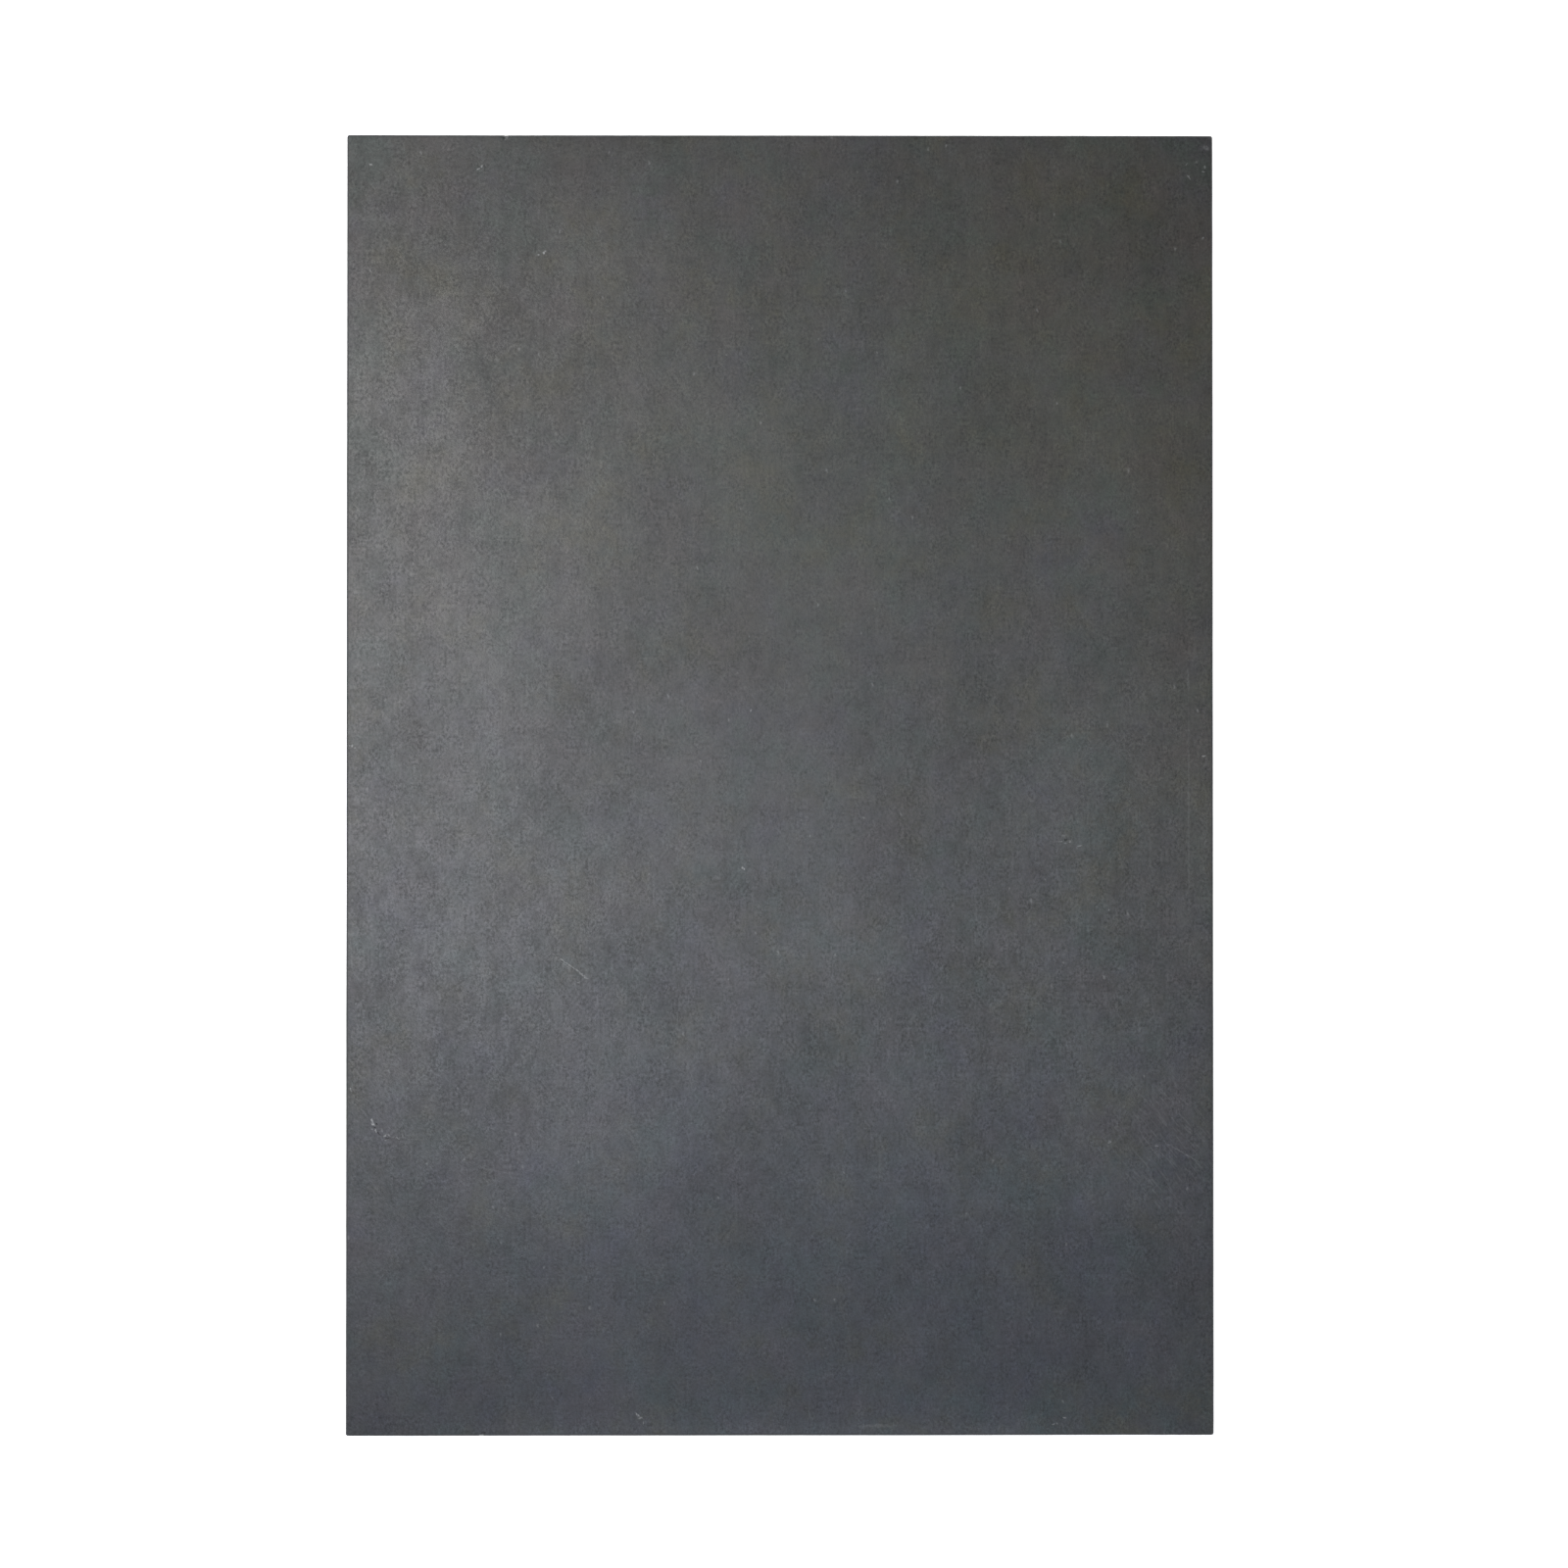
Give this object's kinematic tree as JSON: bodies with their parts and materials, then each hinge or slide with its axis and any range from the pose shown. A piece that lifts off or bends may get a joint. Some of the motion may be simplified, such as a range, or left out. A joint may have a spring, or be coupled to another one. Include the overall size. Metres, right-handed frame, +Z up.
{
  "type": "slate slab",
  "caption": "Flat rectangular slab of dark grey slate with a honed face, sawn sides and lightly eased edges.",
  "frame": {"origin": "middle of the underside, where the slab rests", "axes": "+Z up out of the honed face, +Y along the slab's length, +X across its width"},
  "size_m": [0.4, 0.6, 0.02],
  "materials": {
    "honed_slate": "satin"
  },
  "bodies": {
    "root": {"slate_slab": "honed_slate"}
  },
  "joints": []
}
